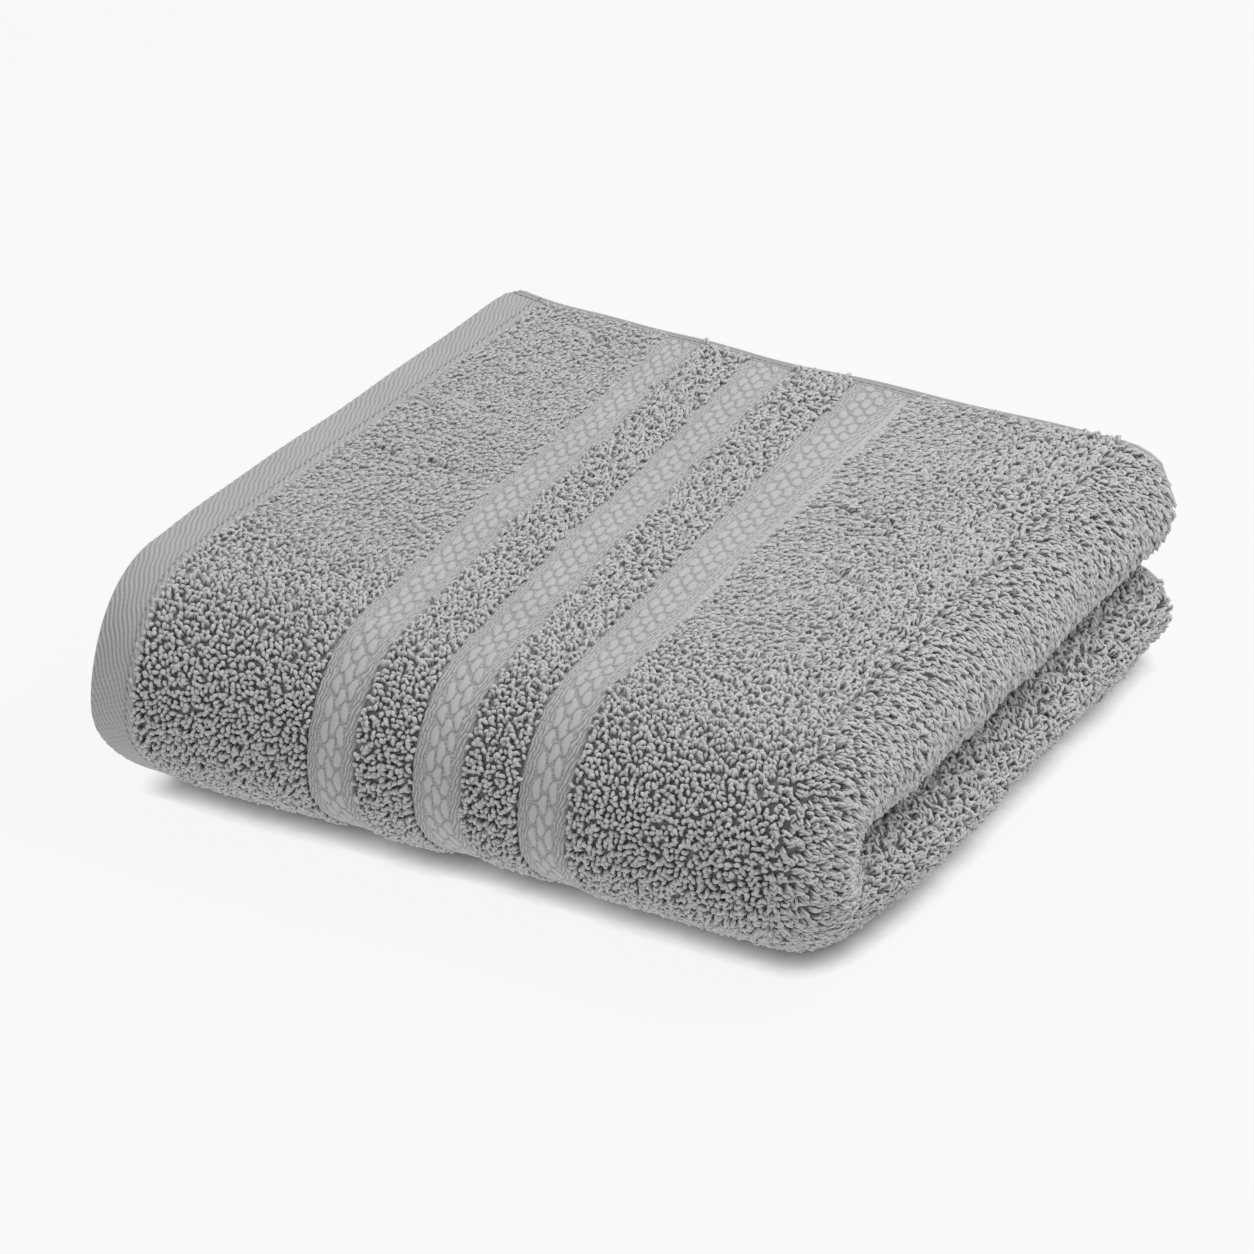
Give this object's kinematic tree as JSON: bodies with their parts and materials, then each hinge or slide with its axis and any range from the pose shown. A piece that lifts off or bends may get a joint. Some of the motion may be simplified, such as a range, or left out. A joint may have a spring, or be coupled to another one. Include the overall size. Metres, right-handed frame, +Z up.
{
  "type": "folded bath towel",
  "caption": "Thick terry bath towel folded into quarters along its length and then once like a book, with flat hems and three flat-woven bands.",
  "frame": {"origin": "middle of the bounding box's bottom face, on the surface the towel lies on", "axes": "+X along the folded front edge from the hems to the round folds, +Y from the front edge to the back edge, +Z up"},
  "size_m": [0.35, 0.3478, 0.1057],
  "materials": {
    "terry_pile": "grey cotton loop pile, matt",
    "woven_band": "flat dobby weave, grey cotton",
    "flat_hem": "flat twill weave, grey cotton",
    "seam_thread": "grey sewing thread"
  },
  "bodies": {
    "lower_half": {"band_b1_lower": "woven_band", "band_b2_lower": "woven_band", "band_b3_lower": "woven_band", "border_a_lower": "woven_band", "field_a_lower": "terry_pile", "field_b_lower": "terry_pile", "hem_a_lower": "flat_hem", "hem_b_lower": "flat_hem", "inner_fold_lower": "terry_pile", "middle_loop_lower": "terry_pile", "outer_fold_lower": "terry_pile", "seam_a_lower": "seam_thread", "seam_b_lower": "seam_thread", "side_hem_lower": "flat_hem", "terry_a_lower": "terry_pile", "terry_b1_lower": "terry_pile", "terry_b2_lower": "terry_pile", "terry_b3_lower": "terry_pile", "band_b1_spine": "woven_band", "band_b2_spine": "woven_band", "band_b3_spine": "woven_band", "border_a_spine": "woven_band", "field_a_spine": "terry_pile", "field_b_spine": "terry_pile", "hem_a_spine": "flat_hem", "hem_b_spine": "flat_hem", "inner_fold_spine": "terry_pile", "middle_loop_spine": "terry_pile", "outer_fold_spine": "terry_pile", "seam_a_spine": "seam_thread", "seam_b_spine": "seam_thread", "terry_a_spine": "terry_pile", "terry_b1_spine": "terry_pile", "terry_b2_spine": "terry_pile", "terry_b3_spine": "terry_pile"},
    "upper_half": {"band_b1_upper": "woven_band", "band_b2_upper": "woven_band", "band_b3_upper": "woven_band", "border_a_upper": "woven_band", "field_a_upper": "terry_pile", "field_b_upper": "terry_pile", "hem_a_upper": "flat_hem", "hem_b_upper": "flat_hem", "inner_fold_upper": "terry_pile", "middle_loop_upper": "terry_pile", "outer_fold_upper": "terry_pile", "seam_a_upper": "seam_thread", "seam_b_upper": "seam_thread", "side_hem_upper": "flat_hem", "terry_a_upper": "terry_pile", "terry_b1_upper": "terry_pile", "terry_b2_upper": "terry_pile", "terry_b3_upper": "terry_pile"}
  },
  "joints": [
    {"name": "book_fold", "type": "hinge", "parent": "lower_half", "child": "upper_half", "pos_m": [0, -0.12108, 0.05285], "axis": [1, 0, 0], "range_deg": [0, 90], "deforming": ["band_b1_spine", "band_b2_spine", "band_b3_spine", "border_a_spine", "field_a_spine", "field_b_spine", "hem_a_spine", "hem_b_spine", "inner_fold_spine", "middle_loop_spine", "outer_fold_spine", "seam_a_spine", "seam_b_spine", "terry_a_spine", "terry_b1_spine", "terry_b2_spine", "terry_b3_spine"]}
  ]
}
